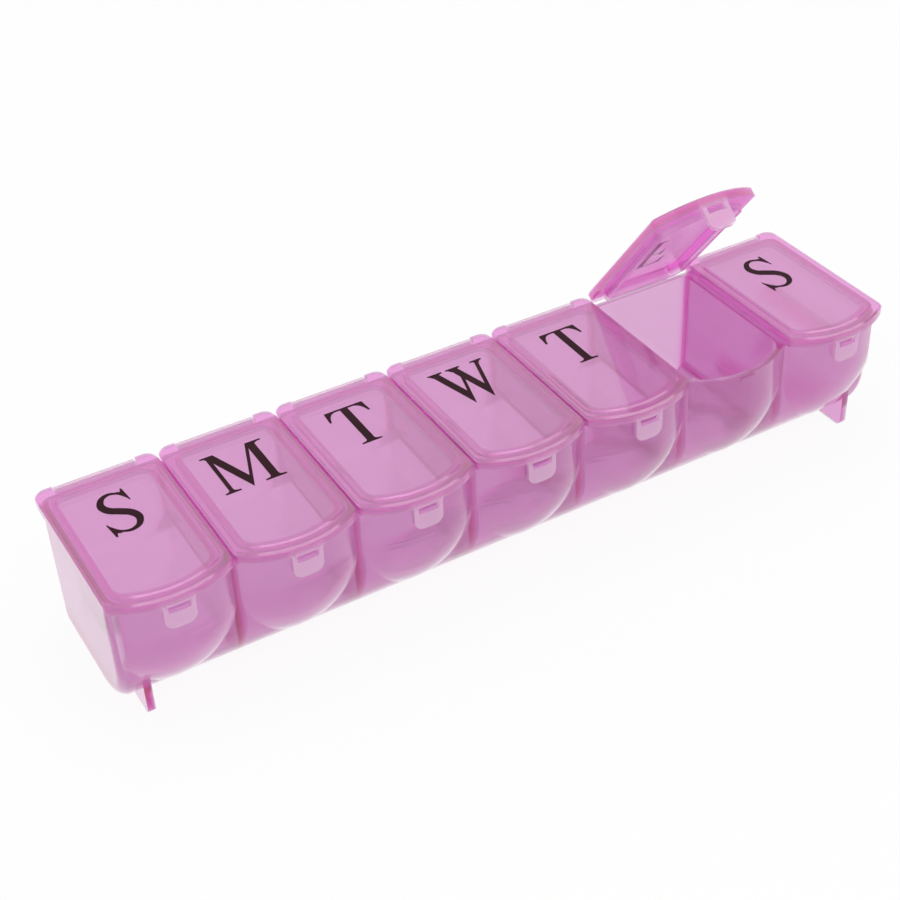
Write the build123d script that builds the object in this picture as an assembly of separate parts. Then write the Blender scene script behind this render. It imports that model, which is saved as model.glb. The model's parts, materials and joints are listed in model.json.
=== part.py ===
"""Weekly pill organizer: a row of seven cups in one tray, with a snap lid on a living hinge over each cup.

Millimetres. X runs along the row, Y from the latch side to the hinge side and Z up.
The origin lies on the resting plane, half way along the tray and half way through its depth.
"""

import os
from math import sqrt

from build123d import *

# Row of cups, from the left end as seen from the latch side
days = ["sunday", "monday", "tuesday", "wednesday", "thursday", "friday", "saturday"]
open_day = "friday"
open_angle = 52.0
pitch = 30.5

# Tray
tray_depth = 42.4
tray_height = 35.0
end_setback = 1.0
wall = 1.4
divider = 1.5
floor = 1.5
bulge_rise = 4.8
groove_width = 1.5
scoop_radius = 16.5
back_radius = 4.0
corner_radius = 3.0

# Inside of a cup
cup_front_corner = 4.0
cup_back_corner = 2.0
cup_bottom_radius = 8.0
cup_bottom_spread = 0.12

# Hollows under the tray, between neighbouring cups
core_reach = 6.5

# Two feet under the scooped front
foot_thickness = 1.9
foot_from_end = 5.75
foot_setback = 1.0
foot_nose = 1.8
foot_root = 4.0

# Catch on the front of a cup
catch_width = 4.3
catch_height = 1.3
catch_rise = 0.4
catch_below_rim = 0.4

# Lid
lid_gap = 0.5
lid_seat_gap = 0.15
lid_edge = 2.6
lid_overhang = 1.6
lid_rear_overhang = 1.9
lid_rear_corner = 3.0
lid_front_corner = 1.8
lid_bevel = 0.5
lid_skin = 1.3
panel_inset = 2.2
panel_rise = 0.4
panel_slope = 45.0
panel_corner = 2.4
plug_clearance = 0.45
plug_depth = 1.4
plug_wall = 1.2
plug_corner = 2.4

# Latch tongue on a lid
latch_width = 7.5
latch_drop = 6.4
latch_gap = 0.6
latch_corner = 2.2
window_width = 5.2
window_height = 1.8
window_drop = 0.2

# Living hinge between a lid and the tray
hinge_width = 19.6
hinge_reach = 1.2
hinge_bend = 1.1
hinge_film = 0.4
hinge_side_gap = 0.4
hinge_rise = 1.0

# Cuts run this far past the faces that they open
overrun = 1.0

# Places worked out from the sizes above
count = len(days)
centres = [(i - (count - 1) / 2) * pitch for i in range(count)]
half_length = count * pitch / 2 - end_setback
front = -tray_depth / 2
back = tray_depth / 2
belly_chord = pitch - groove_width
belly_plan_radius = (belly_chord**2 / 4 + bulge_rise**2) / (2 * bulge_rise)
belly_centre = front - bulge_rise + belly_plan_radius
belly_end_radius = bulge_rise + overrun + corner_radius
seat = tray_height + lid_seat_gap
lid_half_width = (pitch - lid_gap) / 2
hinge_axis = Axis((0, back + hinge_reach, tray_height + hinge_rise), (-1, 0, 0))


def at_corner(face, x, y):
    """The corner of a face nearest to a point of its plane."""
    return face.vertices().sort_by_distance((x, y, 0))[0]


def side_face(y_front, y_back, z_low, z_high, front_radius, back_radius):
    """An upright side view with its two lower corners rounded, drawn in Y and Z."""
    face = Pos((y_front + y_back) / 2, (z_low + z_high) / 2) * Rectangle(y_back - y_front, z_high - z_low)
    face = fillet(at_corner(face, y_front, z_low), front_radius)
    return fillet(at_corner(face, y_back, z_low), back_radius)


def along_row(face, x_low, x_high):
    """A side view pulled along the row from one X to another."""
    return extrude(Plane.YZ.offset(x_low) * face, x_high - x_low)


def bowed_face(x_low, x_high, arc_centre_x, front_arc, rear, front_corner, rear_corner, ease=fillet):
    """A plan with straight sides and rear and a front bowed on the belly's centre, drawn in X and Y."""
    wide = x_high - x_low
    middle = (x_low + x_high) / 2
    deep = rear - belly_centre + front_arc + overrun
    bow = Pos(arc_centre_x, belly_centre) * Circle(front_arc)
    tail = Pos(middle, (belly_centre + rear) / 2) * Rectangle(wide, rear - belly_centre)
    face = (bow + tail) & Pos(middle, rear - deep / 2) * Rectangle(wide, deep)
    for x in (x_low, x_high):
        face = ease(at_corner(face, x, rear), rear_corner)
    for x in (x_low, x_high):
        half = x - arc_centre_x
        face = ease(at_corner(face, x, belly_centre - sqrt(front_arc**2 - half**2)), front_corner)
    return face


def ring_sector(inner, outer, width, z_low, z_high, centre_x):
    """A piece of upright wall that follows the belly, centred on one cup."""
    ring = Circle(outer) - Circle(inner)
    slab = Pos(0, -outer) * Rectangle(width, 2 * outer)
    return extrude(Pos(centre_x, belly_centre, z_low) * (ring & slab), z_high - z_low)


def cup_sides(index):
    """The two inner faces of a cup along the row."""
    low = centres[index] - pitch / 2 + divider / 2
    high = centres[index] + pitch / 2 - divider / 2
    return max(low, wall - half_length), min(high, half_length - wall)


def bowl(index, inset):
    """A cup's round belly: a ball with upright sides above its middle, set in from its outside."""
    radius = belly_plan_radius - inset
    upright = tray_height + overrun - belly_plan_radius
    ball = Pos(centres[index], belly_centre, belly_plan_radius) * Sphere(radius)
    sides = Pos(centres[index], belly_centre, belly_plan_radius + upright / 2) * Cylinder(radius, upright)
    return ball + sides


def cup_hollow(index):
    """The space inside a cup: bowed in plan, U-shaped from the front and scooped from the side."""
    low, high = cup_sides(index)
    top = tray_height + overrun
    plan = bowed_face(
        low, high, centres[index], belly_plan_radius - wall, back - wall, cup_front_corner, cup_back_corner
    )
    side = side_face(front + wall, back - wall, floor, top, scoop_radius - wall, back_radius - wall)
    spread_low, spread_high = low - cup_bottom_spread, high + cup_bottom_spread
    cup = Pos((low + high) / 2, (floor + top) / 2) * Rectangle(spread_high - spread_low, top - floor)
    for x in (spread_low, spread_high):
        cup = fillet(at_corner(cup, x, floor), cup_bottom_radius)
    upright = extrude(Pos(0, 0, floor) * plan, top - floor)
    scooped = along_row(side, low, high) + bowl(index, wall)
    return upright & scooped & extrude(Plane.XZ * cup, tray_depth, both=True)


def core_hollow(x_low, x_high, cup_corners):
    """A hollow from below that follows the outside of the rounded cup corners beside it."""
    low_z, high_z = -overrun, floor + cup_bottom_radius
    face = Pos((x_low + x_high) / 2, (low_z + high_z) / 2) * Rectangle(x_high - x_low, high_z - low_z)
    for x in cup_corners:
        face -= Pos(x, high_z) * Circle(cup_bottom_radius + wall)
    lowest = min(face.faces(), key=lambda piece: piece.center().Y)
    side = side_face(front + wall, back - wall, wall, tray_height, scoop_radius - wall, back_radius - wall)
    mouth = Pos((front + scoop_radius + back - back_radius) / 2, low_z / 2 + wall / 2) * Rectangle(
        tray_depth - scoop_radius - back_radius, wall - low_z
    )
    reach = along_row(side + mouth, x_low, x_high)
    return extrude(Plane.XZ * lowest, tray_depth, both=True) & reach


def core_hollows():
    """The hollows between neighbouring cups."""
    inner = divider / 2 + cup_bottom_radius - cup_bottom_spread
    hollows = []
    for k in range(1, count):
        x = centres[k] - pitch / 2
        hollows.append(core_hollow(x - core_reach, x + core_reach, (x - inner, x + inner)))
    return hollows


def foot(side):
    """A thin upright fin under the scooped front, near one end."""
    x = side * (half_length - foot_from_end)
    y_front = front + foot_setback
    fin = side_face(y_front, front + scoop_radius + foot_root, 0, scoop_radius, foot_nose, foot_nose)
    return along_row(fin, x - foot_thickness / 2, x + foot_thickness / 2)


def end_edges(body):
    """The edges around the two end faces of a body, without those along its rim."""
    ends = body.faces().filter_by(Axis.X)
    return [edge for edge in ends.edges() if edge.center().Z < tray_height - wall]


def tray():
    """The tray as one moulding: cups, feet and catches."""
    body = along_row(
        side_face(front, back, 0, tray_height, scoop_radius, back_radius), -half_length, half_length
    )
    body = fillet(end_edges(body), corner_radius)
    stop = half_length - groove_width / 2
    reach = along_row(
        side_face(front - bulge_rise - overrun, belly_centre, 0, tray_height, scoop_radius, back_radius),
        -stop,
        stop,
    )
    outer_edges = [edge for edge in end_edges(reach) if edge.center().Y < belly_centre - wall]
    reach = fillet(outer_edges, belly_end_radius)
    for index, x in enumerate(centres):
        chord = Pos(x, belly_centre) * Rectangle(belly_chord, 2 * belly_plan_radius + overrun)
        body += bowl(index, 0) & reach & extrude(chord, tray_height)
        top = tray_height - catch_below_rim
        body += ring_sector(
            belly_plan_radius - wall, belly_plan_radius + catch_rise, catch_width, top - catch_height, top, x
        )
    body += [foot(-1), foot(1)]
    body -= [cup_hollow(i) for i in range(count)]
    return body - core_hollows()


def latch():
    """The tongue that hangs from a lid's front, with the window that takes the catch."""
    outer = belly_plan_radius + lid_overhang
    tongue = ring_sector(belly_plan_radius + latch_gap, outer, latch_width, seat - latch_drop, seat, 0)
    shape = Pos(0, seat - latch_drop / 2) * Rectangle(latch_width, latch_drop)
    for x in (-latch_width / 2, latch_width / 2):
        shape = fillet(at_corner(shape, x, seat - latch_drop), latch_corner)
    shape -= Pos(0, seat - window_drop - window_height / 2) * Rectangle(window_width, window_height)
    return tongue & extrude(Plane.XZ * shape, tray_depth, both=True)


def lid():
    """A closed lid over the middle of the row."""
    rear = back + lid_rear_overhang
    edge_arc = belly_plan_radius + lid_overhang
    plate = extrude(
        Pos(0, 0, seat)
        * bowed_face(-lid_half_width, lid_half_width, 0, edge_arc, rear, lid_front_corner, lid_rear_corner),
        lid_edge,
    )
    plate = chamfer(plate.faces().sort_by(Axis.Z)[-1].edges(), lid_bevel)
    half = lid_half_width - panel_inset
    panel_rear = back - panel_inset
    panel = extrude(
        Pos(0, 0, seat + lid_edge)
        * bowed_face(-half, half, 0, edge_arc - panel_inset, panel_rear, panel_corner, panel_corner),
        panel_rise,
        taper=panel_slope,
    )
    end_low, end_high = cup_sides(0)
    half = min(centres[0] - end_low, end_high - centres[0]) - plug_clearance
    plug_arc = belly_plan_radius - wall - plug_clearance
    plug_rear = back - wall - plug_clearance
    plug_face = bowed_face(-half, half, 0, plug_arc, plug_rear, plug_corner, plug_corner, chamfer)
    plug = extrude(Pos(0, 0, seat - plug_depth) * plug_face, plug_depth)
    half -= plug_wall
    inside = plug_corner - plug_wall
    hollow = extrude(
        Pos(0, 0, seat - plug_depth)
        * bowed_face(-half, half, 0, plug_arc - plug_wall, plug_rear - plug_wall, inside, inside, chamfer),
        plug_depth + lid_edge + panel_rise - lid_skin,
    )
    notch_width = hinge_width + 2 * hinge_side_gap
    notch = Pos(0, back + rear / 2, seat + lid_edge / 2) * Box(notch_width, rear, 2 * lid_edge)
    return plate + panel + plug + latch() - hollow - notch


def hinge(angle):
    """The folded film of a lid that stands open by an angle, over the middle of the row."""
    across = -hinge_width / 2, hinge_width / 2
    y, z = back + hinge_reach, tray_height + hinge_rise
    strip = Rectangle(hinge_reach, hinge_film)
    ring = Pos(y, z) * (Circle(hinge_bend + hinge_film / 2) - Circle(hinge_bend - hinge_film / 2))
    past = hinge_bend + hinge_film
    behind = Pos(y + past / 2, z) * Rectangle(past, 2 * past)
    bend = along_row(ring & behind, *across)
    if angle > 0:
        bend = bend & bend.rotate(hinge_axis, angle)
    lower = along_row(Pos(back + hinge_reach / 2, z - hinge_bend) * strip, *across)
    upper = along_row(Pos(back + hinge_reach / 2, z + hinge_bend) * strip, *across)
    return bend + lower + upper.rotate(hinge_axis, angle)


os.makedirs("parts", exist_ok=True)
export_step(tray(), "parts/tray.step")
closed_lid = lid()
closed_hinge, open_hinge = hinge(0), hinge(open_angle)
for day, x in zip(days, centres):
    is_open = day == open_day
    piece = closed_lid.rotate(hinge_axis, open_angle) if is_open else closed_lid
    export_step(Pos(x, 0, 0) * piece, f"parts/lid_{day}.step")
    export_step(Pos(x, 0, 0) * (open_hinge if is_open else closed_hinge), f"parts/hinge_{day}.step")
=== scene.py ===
"""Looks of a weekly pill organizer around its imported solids: plastic, hinge films, initials and stage.

Metres, in the frame of the solids: X runs along the row, Y from the latch side to the hinge side and Z up.
"""

import json
import math

import bmesh
import bpy
from bpy.props import FloatProperty, FloatVectorProperty, PointerProperty
from mathutils import Matrix, Vector
from mathutils.geometry import delaunay_2d_cdt


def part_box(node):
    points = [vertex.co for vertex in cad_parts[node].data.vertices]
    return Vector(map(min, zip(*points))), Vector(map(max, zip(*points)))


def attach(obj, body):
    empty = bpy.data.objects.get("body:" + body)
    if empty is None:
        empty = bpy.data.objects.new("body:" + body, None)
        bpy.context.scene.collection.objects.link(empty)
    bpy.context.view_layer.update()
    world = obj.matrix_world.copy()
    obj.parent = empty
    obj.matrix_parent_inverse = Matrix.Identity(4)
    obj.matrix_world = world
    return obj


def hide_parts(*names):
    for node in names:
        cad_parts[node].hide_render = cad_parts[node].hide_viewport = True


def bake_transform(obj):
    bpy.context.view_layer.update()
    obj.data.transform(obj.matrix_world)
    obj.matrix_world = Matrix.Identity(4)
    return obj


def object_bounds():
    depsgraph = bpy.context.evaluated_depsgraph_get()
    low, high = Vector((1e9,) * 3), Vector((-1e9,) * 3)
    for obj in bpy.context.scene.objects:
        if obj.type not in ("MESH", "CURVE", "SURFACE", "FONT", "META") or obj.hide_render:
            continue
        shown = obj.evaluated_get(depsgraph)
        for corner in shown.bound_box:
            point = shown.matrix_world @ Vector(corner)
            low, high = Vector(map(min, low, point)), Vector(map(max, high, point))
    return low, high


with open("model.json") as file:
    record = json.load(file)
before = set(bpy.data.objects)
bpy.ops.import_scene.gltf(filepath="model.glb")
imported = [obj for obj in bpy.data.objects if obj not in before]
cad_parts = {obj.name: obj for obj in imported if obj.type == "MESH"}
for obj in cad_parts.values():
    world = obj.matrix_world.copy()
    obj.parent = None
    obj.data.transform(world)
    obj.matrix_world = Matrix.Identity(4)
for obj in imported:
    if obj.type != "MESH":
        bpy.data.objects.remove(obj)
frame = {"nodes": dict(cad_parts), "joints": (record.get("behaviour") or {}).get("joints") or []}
cad_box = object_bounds()

bl_info = {
    "name": "Weekly Pill Organizer",
    "version": (1, 0, 0),
    "blender": (4, 5, 0),
    "location": "3D View > Sidebar > Pill Organizer",
    "description": "Dresses the solids of a pill organizer in tinted plastic and prints its initials",
    "category": "Object",
}

MM = 0.001

# Hinges of the lids, from the first day to the last, and the letter that each lid carries
hinges = sorted(frame["joints"], key=lambda joint: joint["pos_m"][0])
initials = "SMTWTFS"

# Sizes of a latch tongue, with a hair to spare
latch_width = 7.6 * MM
latch_drop = 6.5 * MM
latch_depth = 1.7 * MM

# Places and sizes read from the solids
lid_low, lid_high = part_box("lid_sunday")
panel_top = lid_high.z
film_low, film_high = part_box("hinge_sunday")

# Noises of a moulded face: its grain, flow marks along the row, and patches where hands have polished it
grain_noise = {"Detail": 2.0}
flow_noise = {"Scale": 1.0, "Detail": 3.0}
flow_stretch = (60.0, 900.0, 300.0)
patch_noise = {"Scale": 85.0, "Detail": 4.0, "Roughness": 0.6}
patch_range = {"From Min": 0.42, "From Max": 0.66}
grain_share = 0.7

# Steps along a hinge film, how full its side edges are, and the sharpest bend that is shaded smooth
root_steps = 6
fold_steps = 16
edge_share = 0.55
smooth_bend = math.radians(40.0)

# Lamps: where each hangs, and its width and height
key_place, key_size = (-1.10, -0.30, 1.10), (2.2, 1.8)
top_place, top_size = (0.05, 0.10, 0.90), (0.7, 0.7)
front_place, front_size = (0.40, -0.56, 0.66), (1.6, 0.12)
rim_place, rim_size = (-0.60, 0.69, 0.42), (0.9, 0.3)

# Bounces of light, many where it passes clear walls, and the brightest that a bounce may be
clear_bounces = 32
diffuse_bounces = 8
brightest_bounce = 3.0


class PlasticFinish(bpy.types.PropertyGroup):
    """The tinted plastic of the tray and lids."""

    tint: FloatVectorProperty(
        name="Tint", description="Colour that the plastic lets through", subtype="COLOR",
        size=3, min=0.0, max=1.0, default=(0.92, 0.0, 0.735),
    )
    # The lids' own tint, depth, haze and clearness make them a paler, milkier copy of the tray's plastic.
    # Partly this is painted light, standing in for the stronger light that falls on the lids from above
    lid_tint: FloatVectorProperty(
        name="Lid tint", description="Colour that the lids let through", subtype="COLOR",
        size=3, min=0.0, max=1.0, default=(0.955, 0.0, 0.82),
    )
    depth: FloatProperty(
        name="Tint depth", description="How fast light is taken up, for each metre of plastic",
        default=450.0,
    )
    lid_depth: FloatProperty(
        name="Lid tint depth", description="How fast light is taken up, for each metre of a lid",
        default=400.0,
    )
    haze: FloatVectorProperty(
        name="Haze", description="Colour of the light that a face passes on or scatters", subtype="COLOR",
        size=3, min=0.0, max=1.0, default=(0.85, 0.955, 0.885),
    )
    lid_haze: FloatVectorProperty(
        name="Lid haze", description="Colour of the light that a lid's face passes on or scatters",
        subtype="COLOR", size=3, min=0.0, max=1.0, default=(0.905, 0.895, 0.905),
    )
    # Painted light: the latch tongues are given a paler colour and a share of plain diffuse reflection,
    # standing in for the light that falls on their fronts
    latch_lit_colour: FloatVectorProperty(
        name="Latch haze", description="Paler colour of the latch tongues, strained by snapping",
        subtype="COLOR", size=3, min=0.0, max=1.0, default=(0.99, 0.98, 0.985),
    )
    latch_lit_share: FloatProperty(
        name="Latch milk", description="Share of the light that a latch tongue throws back",
        subtype="FACTOR", min=0.0, max=1.0, default=0.18,
    )
    film_haze: FloatVectorProperty(
        name="Film haze", description="Paler colour of the film where it has been bent", subtype="COLOR",
        size=3, min=0.0, max=1.0, default=(0.97, 0.91, 0.95),
    )
    clearness: FloatProperty(
        name="Clearness", description="Share of the light that passes through a face",
        subtype="FACTOR", min=0.0, max=1.0, default=0.97,
    )
    glow: FloatVectorProperty(
        name="Glow", description="Colour of the light that the plastic scatters onward", subtype="COLOR",
        size=3, min=0.0, max=1.0, default=(1.0, 0.86, 0.95),
    )
    glow_share: FloatProperty(
        name="Glow share", description="Share of the light that a face scatters onward",
        subtype="FACTOR", min=0.0, max=1.0, default=0.03,
    )
    # Partly painted light: the lids are made milkier than the tray so that they read lighter, as if lit more
    # from above
    lid_clearness: FloatProperty(
        name="Lid clearness", description="Share of the light that passes through a face of a lid",
        subtype="FACTOR", min=0.0, max=1.0, default=0.88,
    )
    film_clearness: FloatProperty(
        name="Film clearness", description="Share of the light that passes through a face of a film",
        subtype="FACTOR", min=0.0, max=1.0, default=0.65,
    )
    index: FloatProperty(name="Index", description="How strongly the plastic bends light", default=1.40)
    leak: FloatProperty(
        name="Leak", description="Share of the light that leaves the plastic without being bent",
        subtype="FACTOR", min=0.0, max=1.0, default=0.7,
    )
    gloss: FloatProperty(
        name="Gloss", description="Strength of the glossy skin", subtype="FACTOR", min=0.0, max=1.0,
        default=0.85,
    )
    gloss_blur: FloatProperty(
        name="Gloss blur", description="Roughness of the glossy skin", subtype="FACTOR", min=0.0, max=1.0,
        default=0.08,
    )
    grain: FloatProperty(
        name="Grain", description="Size of the fine satin grain of the mould", unit="LENGTH",
        default=0.35 * MM,
    )
    relief: FloatProperty(
        name="Relief", description="Depth of the satin grain", unit="LENGTH", default=0.0003 * MM,
    )
    smooth: FloatProperty(
        name="Smooth", description="Roughness of the face where it is polished by handling",
        subtype="FACTOR", min=0.0, max=1.0, default=0.06,
    )
    satin: FloatProperty(
        name="Satin", description="Roughness of the face as it left the mould",
        subtype="FACTOR", min=0.0, max=1.0, default=0.12,
    )
    polish: FloatProperty(
        name="Polish", description="How much nearer to white a face is where it is polished by handling",
        subtype="FACTOR", min=0.0, max=1.0, default=0.08,
    )


class PrintFinish(bpy.types.PropertyGroup):
    """The initials printed on the lids."""

    ink: FloatVectorProperty(
        name="Ink", description="Colour of the ink", subtype="COLOR",
        size=3, min=0.0, max=1.0, default=(0.028, 0.008, 0.012),
    )
    thin_ink: FloatVectorProperty(
        name="Thin ink", description="Colour of the ink where its coat is thin", subtype="COLOR",
        size=3, min=0.0, max=1.0, default=(0.040, 0.012, 0.018),
    )
    height: FloatProperty(
        name="Letter height", description="Height of a capital", unit="LENGTH", default=15.7 * MM,
    )
    from_hinge: FloatProperty(
        name="Base line", description="Distance of the base line from the hinge", unit="LENGTH",
        default=25.5 * MM,
    )
    shift: FloatProperty(
        name="Shift", description="Offset of the letters from the middle of the lid", unit="LENGTH",
        default=-0.5 * MM,
    )
    shine: FloatProperty(
        name="Shine", description="Strength of the ink's reflection", subtype="FACTOR", min=0.0, max=1.0,
        default=0.05,
    )
    matt: FloatProperty(
        name="Matt", description="How much rougher the ink is than the plastic", subtype="FACTOR",
        min=0.0, max=1.0, default=0.25,
    )
    coat: FloatProperty(name="Coat", description="Thickness of the ink", unit="LENGTH", default=0.04 * MM)


class FilmForm(bpy.types.PropertyGroup):
    """The living hinge between a lid and the tray."""

    thickness: FloatProperty(
        name="Root thickness", description="Thickness of the film at its roots", unit="LENGTH",
        default=0.40 * MM,
    )
    fold_thickness: FloatProperty(
        name="Fold thickness", description="Thickness of the film at its fold", unit="LENGTH",
        default=0.26 * MM,
    )
    edge: FloatProperty(
        name="Edge", description="Width of the rounded side edges", unit="LENGTH", default=0.12 * MM,
    )
    clearance: FloatProperty(
        name="Clearance", description="Hair gap at the roots, so that no two faces lie in one place",
        unit="LENGTH", default=0.02 * MM,
    )


class StageSetup(bpy.types.PropertyGroup):
    """Camera, floor and lights."""

    camera_place: FloatVectorProperty(
        name="Camera", description="Place of the camera", subtype="TRANSLATION", unit="LENGTH",
        size=3, default=(-0.16883, -0.29547, 0.27899),
    )
    camera_turn: FloatVectorProperty(
        name="Camera turn", description="Rotation of the camera", subtype="EULER", unit="ROTATION",
        size=3, default=(math.radians(52.77), math.radians(2.353), math.radians(-30.118)),
    )
    lens: FloatProperty(name="Lens", description="Focal length in millimetres", default=68.65)
    floor_side: FloatProperty(name="Floor", description="Side of the floor", unit="LENGTH", default=6.0)
    floor_gap: FloatProperty(
        name="Floor gap", description="Gap under the resting face", unit="LENGTH", default=0.05 * MM,
    )
    floor_colour: FloatVectorProperty(
        name="Floor colour", description="Colour of the floor", subtype="COLOR",
        size=3, min=0.0, max=1.0, default=(0.93, 0.93, 0.93),
    )
    whiteness: FloatProperty(
        name="Whiteness", description="Share of plain white in the floor as the camera sees it",
        subtype="FACTOR", min=0.0, max=1.0, default=0.92,
    )
    sky: FloatProperty(name="Sky", description="Strength of the even light from all round", default=0.55)
    key_power: FloatProperty(name="Key", description="Power of the lamp on the left, in watts", default=6.0)
    top_power: FloatProperty(name="Top", description="Power of the lamp overhead, in watts", default=2.2)
    front_power: FloatProperty(
        name="Front", description="Power of the narrow lamp in front, in watts", default=1.5,
    )
    rim_power: FloatProperty(name="Rim", description="Power of the lamp behind, in watts", default=0.5)


class PillOrganizerSettings(bpy.types.PropertyGroup):
    """All that a user would change."""

    plastic: PointerProperty(type=PlasticFinish)
    printing: PointerProperty(type=PrintFinish)
    film: PointerProperty(type=FilmForm)
    stage: PointerProperty(type=StageSetup)


# Nodes

def place(tree, kind, settings=None, inputs=None):
    """Adds a node, sets its properties, and sets or links its inputs by name or number."""
    node = tree.nodes.new(kind)
    for name, value in (settings or {}).items():
        setattr(node, name, value)
    for name, value in (inputs or {}).items():
        if isinstance(value, bpy.types.NodeSocket):
            tree.links.new(value, node.inputs[name])
        else:
            node.inputs[name].default_value = value
    return node


def maths(tree, operation, first, second):
    """One sum of two values or sockets."""
    return place(tree, "ShaderNodeMath", {"operation": operation}, {0: first, 1: second}).outputs[0]


def new_group(name, inputs, outputs):
    """A shader node group with float inputs and outputs, and its input and output nodes."""
    group = bpy.data.node_groups.new(name, "ShaderNodeTree")
    for socket in inputs:
        group.interface.new_socket(socket, in_out="INPUT", socket_type="NodeSocketFloat")
    for socket in outputs:
        group.interface.new_socket(socket, in_out="OUTPUT", socket_type="NodeSocketFloat")
    return group, group.nodes.new("NodeGroupInput"), group.nodes.new("NodeGroupOutput")


def moulded_face():
    """The satin face of a moulding: fine grain, long flow marks, and patches polished by handling."""
    name = "moulded_face"
    if name in bpy.data.node_groups:
        return bpy.data.node_groups[name]
    group, given, made = new_group(
        name, ("Grain Size", "Smooth", "Satin"), ("Roughness", "Height", "Handling")
    )
    where = place(group, "ShaderNodeTexCoord").outputs["Object"]
    grain_scale = maths(group, "DIVIDE", 1.0, given.outputs["Grain Size"])
    grain = place(
        group, "ShaderNodeTexNoise", None, {"Vector": where, "Scale": grain_scale, **grain_noise}
    ).outputs[0]
    stretched = place(group, "ShaderNodeMapping", None, {"Vector": where, "Scale": flow_stretch}).outputs[0]
    flow = place(group, "ShaderNodeTexNoise", None, {"Vector": stretched, **flow_noise}).outputs[0]
    patches = place(group, "ShaderNodeTexNoise", None, {"Vector": where, **patch_noise}).outputs[0]
    handling = place(
        group, "ShaderNodeMapRange", {"interpolation_type": "SMOOTHSTEP"}, {"Value": patches, **patch_range}
    ).outputs[0]
    rough = place(
        group, "ShaderNodeMapRange", None,
        {"Value": handling, "To Min": given.outputs["Satin"], "To Max": given.outputs["Smooth"]},
    ).outputs[0]
    fine = maths(group, "MULTIPLY", grain, grain_share)
    coarse = maths(group, "MULTIPLY", flow, 1.0 - grain_share)
    height = maths(group, "ADD", fine, coarse)
    for socket, value in (("Roughness", rough), ("Height", height), ("Handling", handling)):
        group.links.new(value, made.inputs[socket])
    return group


def new_material(name):
    """A material with an empty node tree and its output node."""
    material = bpy.data.materials.new(name)
    material.use_nodes = True
    tree = material.node_tree
    tree.nodes.clear()
    return material, tree, tree.nodes.new("ShaderNodeOutputMaterial")


def face_nodes(tree, plastic):
    """The moulded face with this plastic's values, and the bump that its grain makes."""
    face = place(
        tree, "ShaderNodeGroup", {"node_tree": moulded_face()},
        {"Grain Size": plastic.grain, "Smooth": plastic.smooth, "Satin": plastic.satin},
    )
    bump = place(
        tree, "ShaderNodeBump", None,
        {"Strength": 1.0, "Distance": plastic.relief, "Height": face.outputs["Height"]},
    )
    return face, bump


def blend_colour(tree, share, first, second):
    """A colour or colour socket, passing over to a second colour by a share, as a socket."""
    return place(
        tree, "ShaderNodeMix", {"data_type": "RGBA"}, {"Factor": share, "A": first, "B": (*second, 1.0)}
    ).outputs["Result"]


def tinted_plastic(name, plastic, haze, clearness, tint, depth):
    """Tinted plastic: slightly milky faces round a body that takes up more light the thicker it is."""
    if name in bpy.data.materials:
        return bpy.data.materials[name]
    material, tree, output = new_material(name)
    face, bump = face_nodes(tree, plastic)
    polished = tuple(value + (1.0 - value) * plastic.polish for value in haze)
    colour = blend_colour(tree, face.outputs["Handling"], (*haze, 1.0), polished)
    # Painted light: on the latch tongues the face colour is blended towards a paler colour, standing in for
    # the light falling on their fronts
    latch_lit_mask = place(tree, "ShaderNodeAttribute", {"attribute_name": "latch"}).outputs["Fac"]
    colour = blend_colour(tree, latch_lit_mask, colour, plastic.latch_lit_colour)
    inside = place(tree, "ShaderNodeNewGeometry").outputs["Backfacing"]
    outside = maths(tree, "SUBTRACT", 1.0, inside)
    shader = place(
        tree, "ShaderNodeBsdfPrincipled", None,
        {
            "Base Color": colour, "Roughness": face.outputs["Roughness"], "Normal": bump.outputs[0],
            "Transmission Weight": clearness, "IOR": plastic.index,
            "Coat Weight": maths(tree, "MULTIPLY", outside, plastic.gloss),
            "Coat Roughness": plastic.gloss_blur,
        },
    )
    glow = place(
        tree, "ShaderNodeBsdfTranslucent", None, {"Color": (*plastic.glow, 1.0), "Normal": bump.outputs[0]}
    )
    milky = place(
        tree, "ShaderNodeMixShader", None, {0: plastic.glow_share, 1: shader.outputs[0], 2: glow.outputs[0]}
    )
    body = place(
        tree, "ShaderNodeVolumeAbsorption", None, {"Color": (*tint, 1.0), "Density": depth}
    )
    # Painted light: the light passing through the latch tongues is also made paler, so the tongues look lit
    passing = blend_colour(tree, latch_lit_mask, (*haze, 1.0), plastic.latch_lit_colour)
    straight = place(tree, "ShaderNodeBsdfTransparent", None, {"Color": passing})
    surface = place(
        tree, "ShaderNodeMixShader", None,
        {0: maths(tree, "MULTIPLY", inside, plastic.leak), 1: milky.outputs[0], 2: straight.outputs[0]},
    )
    # Painted light: a pale diffuse share on the outer faces of the latch tongues makes them look lit from
    # the front
    pale = place(
        tree, "ShaderNodeBsdfDiffuse", None,
        {"Color": (*plastic.latch_lit_colour, 1.0), "Normal": bump.outputs[0]},
    )
    milk = maths(tree, "MULTIPLY", maths(tree, "MULTIPLY", latch_lit_mask, outside), plastic.latch_lit_share)
    whole = place(tree, "ShaderNodeMixShader", None, {0: milk, 1: surface.outputs[0], 2: pale.outputs[0]})
    tree.links.new(whole.outputs[0], output.inputs["Surface"])
    tree.links.new(body.outputs[0], output.inputs["Volume"])
    return material


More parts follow.
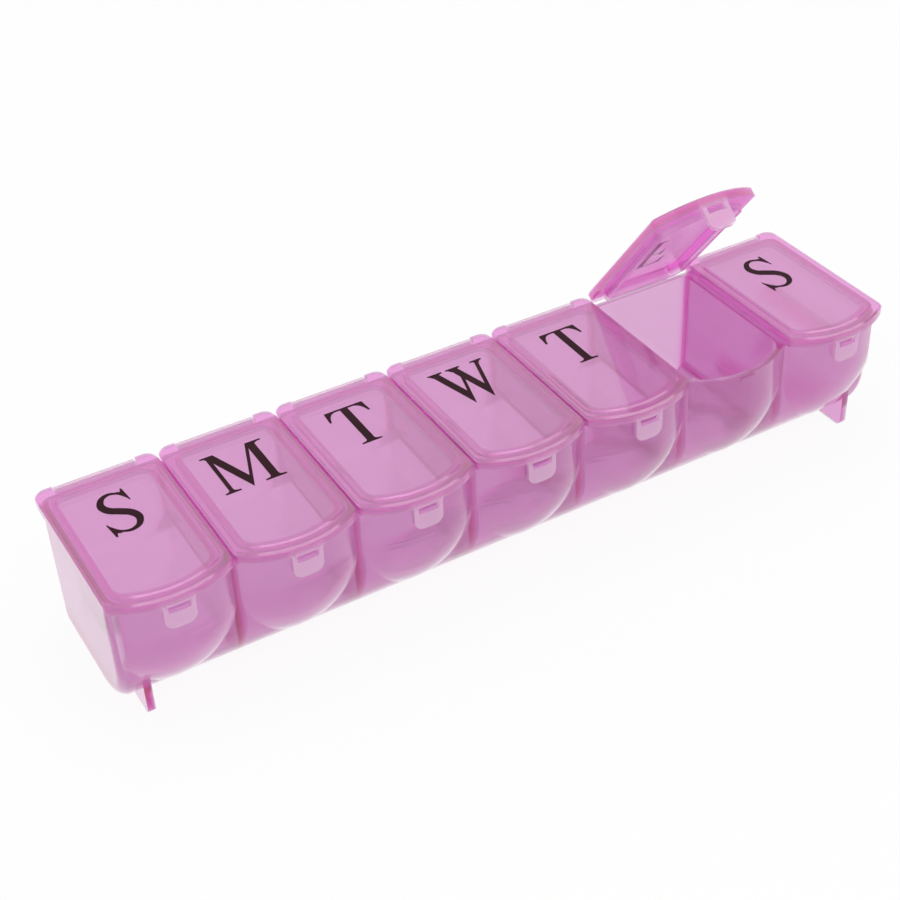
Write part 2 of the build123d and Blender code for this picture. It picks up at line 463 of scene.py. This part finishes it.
def printed_ink(plastic, printing):
    """Matt dark ink, a little thinner in places."""
    name = "printed_ink"
    if name in bpy.data.materials:
        return bpy.data.materials[name]
    material, tree, output = new_material(name)
    face, bump = face_nodes(tree, plastic)
    colour = blend_colour(tree, face.outputs["Handling"], (*printing.ink, 1.0), printing.thin_ink)
    rough = maths(tree, "ADD", face.outputs["Roughness"], printing.matt)
    shader = place(
        tree, "ShaderNodeBsdfPrincipled", None,
        {
            "Base Color": colour, "Roughness": rough, "Normal": bump.outputs[0],
            "Specular IOR Level": printing.shine,
        },
    )
    tree.links.new(shader.outputs[0], output.inputs["Surface"])
    return material


# Meshes

def turn_outward(mesh):
    """Turns all faces of a closed mesh to its outside."""
    build = bmesh.new()
    build.from_mesh(mesh)
    bmesh.ops.recalc_face_normals(build, faces=build.faces)
    build.to_mesh(mesh)
    build.free()


def new_piece(name, verts, faces, material, smooth_angle):
    """A mesh object of plain polygons, smooth but for edges sharper than an angle."""
    mesh = bpy.data.meshes.new(name)
    mesh.from_pydata(verts, [], faces)
    mesh.validate()
    turn_outward(mesh)
    mesh.shade_smooth()
    mesh.set_sharp_from_angle(angle=smooth_angle)
    mesh.materials.append(material)
    piece = bpy.data.objects.new(name, mesh)
    bpy.context.scene.collection.objects.link(piece)
    return piece


def dress(node, material):
    """Gives a solid's object one material."""
    piece = frame["nodes"][node]
    piece.data.materials.clear()
    piece.data.materials.append(material)


def mark_latch(hinge):
    """Marks the corners of a lid's latch tongue, where the plastic is painted paler to stand in for the
    light falling on the tongue's front.
    """
    piece = frame["nodes"][hinge["child"]]
    closed = opened(hinge).inverted() @ piece.matrix_world
    marks = piece.data.attributes.new("latch", "FLOAT", "POINT")
    for corner, mark in zip(piece.data.vertices, marks.data):
        x, y, z = closed @ corner.co
        beside = abs(x - hinge["pos_m"][0]) < latch_width / 2
        mark.value = float(beside and y < lid_low.y + latch_depth and z < lid_low.z + latch_drop)


def rest_angle(hinge):
    """How far a lid stands open at rest, in radians."""
    return math.radians(-hinge["range_deg"][0])


def opened(hinge):
    """The matrix that swings a closed lid's piece to where the lid stands at rest."""
    pivot = Vector(hinge["pos_m"])
    turn = Matrix.Rotation(rest_angle(hinge), 4, Vector(hinge["axis"]))
    return Matrix.Translation(pivot) @ turn @ Matrix.Translation(-pivot)


def fold_radius(film):
    """The radius of the folds, to the middle of the film, read from a closed lid's film."""
    return (film_high.z - film_low.z - film.thickness) / 2


def film_line(hinge, film):
    """A hinge film's middle line from tray to lid, in steps of (y, z, normal y, normal z, share of fold)."""
    angle = rest_angle(hinge)
    bend = fold_radius(film)
    y, z = hinge["pos_m"][1:]
    reach = y - film_low.y - film.clearance
    line = [(y - reach + reach * i / root_steps, z - bend, 0.0, -1.0, 0.0) for i in range(root_steps)]
    for i in range(fold_steps + 1):
        share = i / fold_steps
        a = -math.pi / 2 + share * (math.pi - angle)
        bulge = math.sin(share * math.pi)
        line.append((y + bend * math.cos(a), z + bend * math.sin(a), math.cos(a), math.sin(a), bulge))
    up_y, up_z = math.sin(angle), math.cos(angle)
    for i in range(1, root_steps + 1):
        back = reach * i / root_steps
        line.append((y + bend * up_y - back * up_z, z + bend * up_z + back * up_y, up_y, up_z, 0.0))
    return line


def film_mesh(hinge, film):
    """Rings of eight corners along a film's line, thinner at the fold, with rounded side edges."""
    half = (film_high.x - film_low.x) / 2
    across = (-half, film.edge - half, half - film.edge, half)
    lift = (edge_share, 1.0, 1.0, edge_share)
    verts, faces = [], []
    line = film_line(hinge, film)
    for y, z, ny, nz, fold in line:
        thick = (film.thickness + (film.fold_thickness - film.thickness) * fold) / 2
        ring = [(x, rise * thick) for x, rise in zip(across, lift)]
        ring += [(x, -rise * thick) for x, rise in zip(across[::-1], lift[::-1])]
        verts += [(hinge["pos_m"][0] + x, y + ny * h, z + nz * h) for x, h in ring]
    size = 2 * len(across)
    for k in range(len(line) - 1):
        for i in range(size):
            j = (i + 1) % size
            faces.append((k * size + i, k * size + j, (k + 1) * size + j, (k + 1) * size + i))
    faces.append(tuple(range(size))[::-1])
    faces.append(tuple(range((len(line) - 1) * size, len(line) * size)))
    return verts, faces


# Letters, in shares of the height of a capital, with the base line at 0

hair_share = 0.040
thin_share = 0.068
thick_share = 0.130
serif_share = 0.034
bracket_share = 0.055
overshoot_share = 0.02
arm_drop_share = 0.26
beak_lean_share = 0.02
beak_width_share = 0.035
beak_corner_shares = (0.05, 0.03)
beak_root_share = 0.16
round_steps = 6
spine_steps = 12


def bend_to(start, corner, end):
    """The points of a curve that leaves start and meets end, both towards a corner, without its start."""
    points = []
    for i in range(1, round_steps + 1):
        t = i / round_steps
        points.append(tuple(
            (1 - t) ** 2 * a + 2 * t * (1 - t) * b + t * t * c for a, b, c in zip(start, corner, end)
        ))
    return points


def stroke(x_low, x_high, width, y_low=0.0, y_high=1.0):
    """A straight stroke between two heights, with level ends."""
    half = width / 2
    return [(x_low - half, y_low), (x_low + half, y_low), (x_high + half, y_high), (x_high - half, y_high)]


def vee(left, left_width, tip, right, right_width, top=1.0):
    """Two strokes from the top that meet in a point just below the base line."""
    left_lean = (tip - left + left_width / 2) / (1.0 + overshoot_share)
    right_lean = (right + right_width / 2 - tip) / (top + overshoot_share)
    rise = (left_width + right_width) / (left_lean + right_lean)
    fork = (tip + right_lean * rise - right_width, rise - overshoot_share)
    return [
        (left - left_width / 2, 1.0), (left + left_width / 2, 1.0), fork,
        (right - right_width / 2, top), (right + right_width / 2, top), (tip, -overshoot_share),
    ]


def serif(left, right, x, width, y, way):
    """A serif across a stem's end, with a curved bracket each side; way is 1 on the base line, -1 on top."""
    flat, top = y + way * serif_share, y + way * (serif_share + bracket_share)
    inner_left, inner_right = x - width / 2, x + width / 2
    points = [(left, y), (right, y), (right, flat)]
    points += bend_to((right, flat), (inner_right, flat), (inner_right, top))
    points.append((inner_left, top))
    return points + bend_to((inner_left, top), (inner_left, flat), (left, flat))


def hanging_arm(x_stem, x_tip):
    """A thin arm from the top of a stem, with a beak that hangs from its tip."""
    side = 1 if x_tip > x_stem else -1
    under, low = 1.0 - hair_share, 1.0 - arm_drop_share
    beak = (x_tip + side * beak_lean_share, low)
    inner = (beak[0] - side * beak_width_share, low)
    corner = (x_tip - side * beak_corner_shares[0], under - beak_corner_shares[1])
    root = (x_tip - side * beak_root_share, under)
    return [(x_stem, 1.0), (x_tip, 1.0), beak, inner, *bend_to(inner, corner, root), (x_stem, under)]


def swelling_line(knots, thin, thick):
    """A smooth ribbon through knots, thin at both ends and thick half way."""
    ends = [knots[0], *knots, knots[-1]]
    spine = []
    for a, b, c, d in zip(ends, ends[1:], ends[2:], ends[3:]):
        for i in range(spine_steps):
            t = i / spine_steps
            spine.append(tuple(
                q + ((r - p) * t + (2 * p - 5 * q + 4 * r - s) * t**2 + (3 * q - p - 3 * r + s) * t**3) / 2
                for p, q, r, s in zip(a, b, c, d)
            ))
    spine.append(knots[-1])
    left, right = [], []
    for k, (x, y) in enumerate(spine):
        before, after = spine[max(k - 1, 0)], spine[min(k + 1, len(spine) - 1)]
        along = Vector((after[0] - before[0], after[1] - before[1])).normalized()
        half = (thin + (thick - thin) * math.sin(math.pi * k / (len(spine) - 1)) ** 2) / 2
        left.append((x - along.y * half, y + along.x * half))
        right.append((x + along.y * half, y - along.x * half))
    return left + right[::-1]


def letter_s():
    """A round spine with a spur at each end."""
    knots = [
        (0.222, 0.77), (0.135, 0.905), (0.005, 0.962), (-0.122, 0.905), (-0.183, 0.755), (-0.125, 0.61),
        (0.005, 0.515), (0.145, 0.405), (0.208, 0.25), (0.146, 0.092), (0.0, 0.032), (-0.145, 0.095),
        (-0.245, 0.24),
    ]
    upper = [(0.195, 1.0), (0.225, 1.0), (0.252, 0.69), (0.232, 0.69)]
    upper += [*bend_to((0.232, 0.69), (0.20, 0.84), (0.10, 0.925)), (0.13, 0.955), (0.18, 0.93)]
    lower = [(-0.21, -0.015), (-0.24, -0.015), (-0.275, 0.31), (-0.255, 0.31)]
    lower += [*bend_to((-0.255, 0.31), (-0.215, 0.15), (-0.11, 0.068)), (-0.14, 0.035), (-0.195, 0.06)]
    return [swelling_line(knots, 0.034, 0.142), upper, lower]


def letter_m():
    """A thin and a thick stem with a valley between them."""
    return [
        vee(-0.344, 0.14, -0.045, 0.2775, 0.055),
        stroke(-0.376, -0.376, thin_share),
        stroke(0.32, 0.32, thick_share),
        serif(-0.49, -0.24, -0.376, thin_share, 0.0, 1),
        serif(0.155, 0.485, 0.32, thick_share, 0.0, 1),
        serif(-0.49, -0.36, -0.376, thin_share, 1.0, -1),
        serif(0.26, 0.50, 0.32, thick_share, 1.0, -1),
    ]


def letter_t():
    """A stem, a little left of the middle, under two arms."""
    x = -0.035
    return [
        stroke(x, x, thick_share),
        serif(x - 0.165, x + 0.165, x, thick_share, 0.0, 1),
        hanging_arm(x, x - 0.325),
        hanging_arm(x, x + 0.325),
    ]


def letter_w():
    """Two valleys, the first one running into the second."""
    return [
        vee(-0.375, thick_share, -0.178, -0.012, 0.055, 0.72),
        vee(-0.045, thick_share, 0.155, 0.387, thin_share),
        serif(-0.487, -0.235, -0.375, thick_share, 1.0, -1),
        serif(-0.165, 0.085, -0.045, thick_share, 1.0, -1),
        serif(0.275, 0.487, 0.385, thin_share, 1.0, -1),
    ]


def letter_f():
    """A stem with an arm at the top and a short bar that ends in a tick."""
    low, high = 0.50, 0.54
    tick = [(0.10, 0.40), (0.125, 0.40), (0.125, 0.64), (0.10, 0.64)]
    tick += bend_to((0.10, 0.64), (0.09, high), (0.0, high))
    tick += [(0.0, low), *bend_to((0.0, low), (0.09, low), (0.10, 0.40))]
    return [
        stroke(-0.16, -0.16, thick_share),
        serif(-0.32, 0.0, -0.16, thick_share, 0.0, 1),
        serif(-0.32, -0.05, -0.16, thick_share, 1.0, -1),
        hanging_arm(-0.16, 0.25),
        stroke(-0.08, -0.08, 0.2, low, high),
        tick,
    ]


letters = {"S": letter_s, "M": letter_m, "T": letter_t, "W": letter_w, "F": letter_f}


def letter_mesh(letter, height, coat):
    """A letter as one thin closed slab, its strokes united, with its back at 0."""
    points, outlines = [], []
    for outline in letters[letter]():
        outlines.append(list(range(len(points), len(points) + len(outline))))
        points += [Vector(point) for point in outline]
    tolerance = 1e-6
    flat, _, faces, *_ = delaunay_2d_cdt(points, [], outlines, 1, tolerance)
    build = bmesh.new()
    verts = [build.verts.new((x * height, y * height, 0.0)) for x, y in flat]
    for face in faces:
        build.faces.new([verts[i] for i in face])
    bmesh.ops.recalc_face_normals(build, faces=build.faces)
    if sum(face.normal.z for face in build.faces) > 0:
        bmesh.ops.reverse_faces(build, faces=build.faces)
    top = bmesh.ops.extrude_face_region(build, geom=build.faces[:])["geom"]
    raised = [item for item in top if isinstance(item, bmesh.types.BMVert)]
    bmesh.ops.translate(build, verts=raised, vec=(0.0, 0.0, coat))
    bmesh.ops.recalc_face_normals(build, faces=build.faces)
    mesh = bpy.data.meshes.new("initial")
    build.to_mesh(mesh)
    build.free()
    return mesh


# Operators

class PILL_OT_dress_tray(bpy.types.Operator):
    """Give the tray its tinted plastic"""

    bl_idname = "pill.dress_tray"
    bl_label = "Dress Tray"

    def execute(self, context):
        plastic = context.scene.pill_organizer.plastic
        material = tinted_plastic(
            "tinted_tray", plastic, plastic.haze, plastic.clearness, plastic.tint, plastic.depth
        )
        dress("tray", material)
        return {"FINISHED"}


class PILL_OT_dress_lids(bpy.types.Operator):
    """Give the lids their tinted plastic"""

    bl_idname = "pill.dress_lids"
    bl_label = "Dress Lids"

    def execute(self, context):
        plastic = context.scene.pill_organizer.plastic
        # The lids' paler, milkier copy of the plastic is partly painted light, standing in for the light
        # falling on them from above
        material = tinted_plastic(
            "tinted_lid", plastic,
            plastic.lid_haze, plastic.lid_clearness, plastic.lid_tint, plastic.lid_depth,
        )
        for hinge in hinges:
            dress(hinge["child"], material)
            # Marks the latch tongues for their painted paler, lit look
            mark_latch(hinge)
        return {"FINISHED"}


class PILL_OT_make_films(bpy.types.Operator):
    """Fold a living hinge behind each lid"""

    bl_idname = "pill.make_films"
    bl_label = "Make Hinge Films"

    def execute(self, context):
        settings = context.scene.pill_organizer
        plastic, film = settings.plastic, settings.film
        material = tinted_plastic(
            "tinted_film", plastic, plastic.film_haze, plastic.film_clearness, plastic.tint, plastic.depth
        )
        for hinge in hinges:
            day = hinge["child"].removeprefix("lid_")
            verts, faces = film_mesh(hinge, film)
            piece = new_piece(f"film_{day}", verts, faces, material, smooth_bend)
            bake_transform(piece)
            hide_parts(f"hinge_{day}")
        return {"FINISHED"}


class PILL_OT_print_initials(bpy.types.Operator):
    """Print the initial of its day on each lid"""

    bl_idname = "pill.print_initials"
    bl_label = "Print Initials"

    def execute(self, context):
        settings = context.scene.pill_organizer
        printing = settings.printing
        material = printed_ink(settings.plastic, printing)
        for hinge, letter in zip(hinges, initials):
            day = hinge["child"].removeprefix("lid_")
            mesh = letter_mesh(letter, printing.height, printing.coat)
            mesh.materials.append(material)
            piece = bpy.data.objects.new(f"initial_{day}", mesh)
            context.scene.collection.objects.link(piece)
            x, y, _ = hinge["pos_m"]
            laid = Matrix.Translation((x + printing.shift, y - printing.from_hinge, panel_top))
            piece.matrix_world = opened(hinge) @ laid
            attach(piece, hinge["child"])
        return {"FINISHED"}


class PILL_OT_set_stage(bpy.types.Operator):
    """Set the floor, the sky, the lamps and the camera"""

    bl_idname = "pill.set_stage"
    bl_label = "Set Stage"

    def execute(self, context):
        stage = context.scene.pill_organizer.stage
        scene = context.scene
        scene.view_settings.view_transform = "Standard"
        scene.cycles.max_bounces = clear_bounces
        scene.cycles.transmission_bounces = clear_bounces
        scene.cycles.glossy_bounces = clear_bounces
        scene.cycles.transparent_max_bounces = clear_bounces
        scene.cycles.diffuse_bounces = diffuse_bounces
        scene.cycles.sample_clamp_indirect = brightest_bounce
        lay_floor(stage)
        light_sky(scene, stage)
        target = (cad_box[0] + cad_box[1]) / 2
        straight_back = Vector((front_place[0], 0.0, target.z))
        hang_lamp("key_lamp", key_place, target, key_size, stage.key_power)
        hang_lamp("top_lamp", top_place, target, top_size, stage.top_power)
        hang_lamp("front_lamp", front_place, straight_back, front_size, stage.front_power)
        hang_lamp("rim_lamp", rim_place, target, rim_size, stage.rim_power)
        camera = bpy.data.objects.new("camera", bpy.data.cameras.new("camera"))
        camera.data.lens = stage.lens
        camera.location = stage.camera_place
        camera.rotation_euler = stage.camera_turn
        scene.collection.objects.link(camera)
        scene.camera = camera
        return {"FINISHED"}


def seen_directly(tree):
    """A mask for what is seen, also in gloss or through plastic, against the light that falls on things."""
    path = place(tree, "ShaderNodeLightPath")
    seen = maths(tree, "MAXIMUM", path.outputs["Is Camera Ray"], path.outputs["Is Glossy Ray"])
    return maths(tree, "MAXIMUM", seen, path.outputs["Is Transmission Ray"])


def lay_floor(stage):
    """A plain pale floor that reads as white and keeps a soft shadow."""
    material, tree, output = new_material("floor_card")
    lit = place(tree, "ShaderNodeBsdfDiffuse", None, {"Color": (*stage.floor_colour, 1.0)})
    white = place(tree, "ShaderNodeEmission", None, {"Color": (1.0, 1.0, 1.0, 1.0), "Strength": 1.0})
    share = maths(tree, "MULTIPLY", seen_directly(tree), stage.whiteness)
    mixed = place(tree, "ShaderNodeMixShader", None, {0: share, 1: lit.outputs[0], 2: white.outputs[0]})
    tree.links.new(mixed.outputs[0], output.inputs["Surface"])
    half, level = stage.floor_side / 2, -stage.floor_gap
    corners = [(-half, -half, level), (half, -half, level), (half, half, level), (-half, half, level)]
    new_piece("floor", corners, [(0, 1, 2, 3)], material, math.pi)


def light_sky(scene, stage):
    """An even sky, white to the eye and softer as light."""
    scene.world = bpy.data.worlds.new("sky")
    scene.world.use_nodes = True
    tree = scene.world.node_tree
    tree.nodes.clear()
    white = maths(tree, "MULTIPLY", seen_directly(tree), 1.0 - stage.sky)
    strength = maths(tree, "ADD", white, stage.sky)
    sky = place(tree, "ShaderNodeBackground", None, {"Color": (1.0, 1.0, 1.0, 1.0), "Strength": strength})
    output = place(tree, "ShaderNodeOutputWorld")
    tree.links.new(sky.outputs[0], output.inputs["Surface"])


def hang_lamp(name, spot, target, size, power):
    """A soft lamp that faces a point."""
    lamp = bpy.data.lights.new(name, "AREA")
    lamp.shape = "RECTANGLE"
    lamp.size, lamp.size_y = size
    lamp.energy = power
    holder = bpy.data.objects.new(name, lamp)
    holder.location = spot
    holder.rotation_euler = (target - Vector(spot)).to_track_quat("-Z", "Y").to_euler()
    bpy.context.scene.collection.objects.link(holder)


class PILL_PT_panel(bpy.types.Panel):
    """The steps and sizes of the pill organizer"""

    bl_label = "Pill Organizer"
    bl_idname = "PILL_PT_panel"
    bl_space_type = "VIEW_3D"
    bl_region_type = "UI"
    bl_category = "Pill Organizer"

    def draw(self, context):
        for operator in operators:
            self.layout.operator(operator.bl_idname)
        settings = context.scene.pill_organizer
        for group in (settings.plastic, settings.printing, settings.film, settings.stage):
            box = self.layout.box()
            for name in group.__annotations__:
                box.prop(group, name)


operators = (
    PILL_OT_dress_tray, PILL_OT_dress_lids, PILL_OT_make_films, PILL_OT_print_initials, PILL_OT_set_stage,
)
classes = (
    PlasticFinish, PrintFinish, FilmForm, StageSetup, PillOrganizerSettings, *operators, PILL_PT_panel,
)


def register():
    for item in classes:
        bpy.utils.register_class(item)
    bpy.types.Scene.pill_organizer = PointerProperty(type=PillOrganizerSettings)


def unregister():
    del bpy.types.Scene.pill_organizer
    for item in reversed(classes):
        bpy.utils.unregister_class(item)


def main():
    register()
    bpy.ops.pill.dress_tray()
    bpy.ops.pill.dress_lids()
    bpy.ops.pill.make_films()
    bpy.ops.pill.print_initials()
    bpy.ops.pill.set_stage()


if __name__ == "__main__":
    main()
